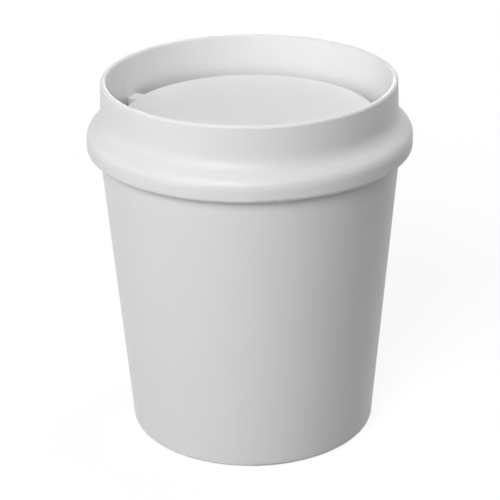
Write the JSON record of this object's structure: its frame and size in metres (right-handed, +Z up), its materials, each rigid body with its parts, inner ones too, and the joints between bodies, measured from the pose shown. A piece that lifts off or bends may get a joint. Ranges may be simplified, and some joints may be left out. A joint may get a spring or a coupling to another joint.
{
  "type": "travel tumbler",
  "caption": "Small tapered drinking cup with an overhanging screw-on lid, a raised drinking collar and a sunken round press button that opens a ring gap all round.",
  "frame": {"origin": "centre of the foot ring on which the cup stands", "axes": "+Z up along the cup's axis; -Y towards the picture's camera, +X to the right in the picture"},
  "size_m": [0.0844, 0.0844, 0.096],
  "materials": {
    "shell": "fine satin, moulded",
    "lid": "fine satin, moulded",
    "inner_plastic": "satin, moulded",
    "silicone": "matte silicone",
    "spring_steel": "bright drawn wire"
  },
  "bodies": {
    "cup": {"cup": "shell"},
    "gasket": {"rim_gasket": "silicone"},
    "lid": {"lid_body": "lid", "latch_ring": "inner_plastic", "spring": "spring_steel"},
    "button": {"button": "lid", "valve": "inner_plastic", "valve_seal": "silicone"}
  },
  "joints": [
    {"name": "lid_lift", "type": "slide", "parent": "cup", "child": "gasket", "axis": [0, 0, 1], "range_m": [0, 0.018]},
    {"name": "lid_turn", "type": "hinge", "parent": "gasket", "child": "lid", "pos_m": [0, 0, 0], "axis": [0, 0, 1], "range_deg": [0, 720]},
    {"name": "button_press", "type": "slide", "parent": "lid", "child": "button", "axis": [0, 0, 1], "range_m": [-0.003, 0], "stiffness_N_per_m": 1500, "springref_m": 0.002, "deforming": ["spring"]}
  ],
  "couplings": [
    {"joint": "lid_turn", "follows": "lid_lift", "rad_per_m": 698.13}
  ]
}
